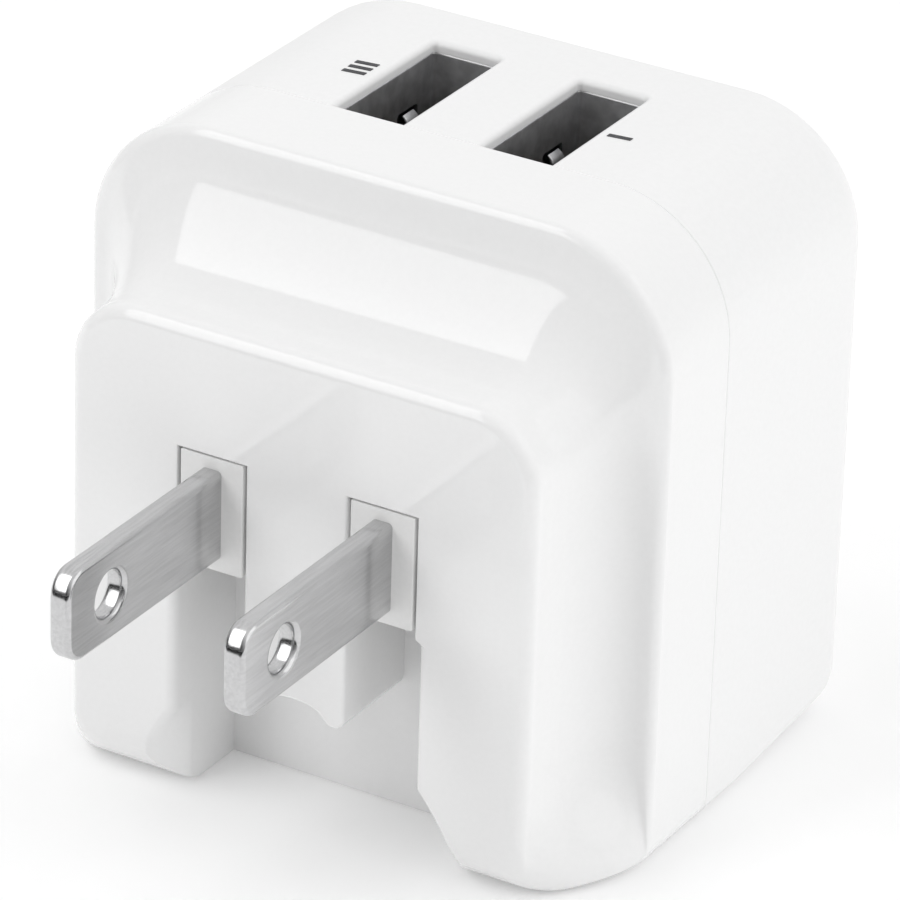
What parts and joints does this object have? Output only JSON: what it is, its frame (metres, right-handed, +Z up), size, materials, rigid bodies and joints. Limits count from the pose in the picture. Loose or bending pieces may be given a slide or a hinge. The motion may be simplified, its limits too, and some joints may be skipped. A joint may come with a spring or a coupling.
{
  "type": "usb wall charger",
  "caption": "Compact white mains charger with a folding blade plug in a raised face, a concave cove around it and USB-A ports in the top.",
  "frame": {"origin": "on the flat raised face that meets the wall plate, midway between the blades on their centre line", "axes": "+X to the right seen from the blades, +Y from the wall plate into the housing, +Z up towards the USB ports"},
  "size_m": [0.043, 0.0535, 0.0436],
  "materials": {
    "white_shell": "satin",
    "white_nylon": "satin",
    "nickel": "polished",
    "zinc_steel": "plated",
    "spring_steel": "bright",
    "contact_bronze": "bright",
    "insulating_film": "matte",
    "circuit_board": "satin",
    "gold_pins": "plated",
    "ferrite": "matte",
    "black_plastic": "matte",
    "winding_tape": "satin",
    "can_sleeve": "satin",
    "inductor_sleeve": "satin",
    "resistor_body": "matte",
    "blue_epoxy": "gloss",
    "pale_plastic": "matte",
    "bare_can": "satin",
    "socket_steel": "bright",
    "grey_ink": "matte"
  },
  "bodies": {
    "charger": {"prong_shell": "white_shell", "usb_shell": "white_shell", "prong_retainer": "white_nylon", "retainer_screws": "zinc_steel", "detent_spring": "spring_steel", "live_contact": "contact_bronze", "neutral_contact": "contact_bronze", "insulating_sheet": "insulating_film", "main_board": "circuit_board", "usb_board": "circuit_board", "board_link_pins": "gold_pins", "transformer_core": "ferrite", "transformer_bobbin": "black_plastic", "transformer_winding": "winding_tape", "input_capacitors": "can_sleeve", "input_inductor": "inductor_sleeve", "fuse_resistor": "resistor_body", "safety_capacitor": "blue_epoxy", "bridge_rectifier": "black_plastic", "controller_chip": "black_plastic", "optocoupler": "pale_plastic", "output_capacitors": "bare_can", "output_rectifier": "black_plastic", "charging_chip": "black_plastic", "left_socket_shell": "socket_steel", "right_socket_shell": "socket_steel", "left_socket_tongue": "black_plastic", "right_socket_tongue": "black_plastic", "left_socket_contacts": "gold_pins", "right_socket_contacts": "gold_pins", "left_port_mark": "grey_ink", "right_port_mark": "grey_ink"},
    "prongs": {"prong_carrier": "white_nylon", "left_blade": "nickel", "right_blade": "nickel"}
  },
  "joints": [
    {"name": "prong_fold", "type": "hinge", "parent": "charger", "child": "prongs", "pos_m": [0, 0.004, 0], "axis": [1, 0, 0], "range_deg": [0, 90]}
  ]
}
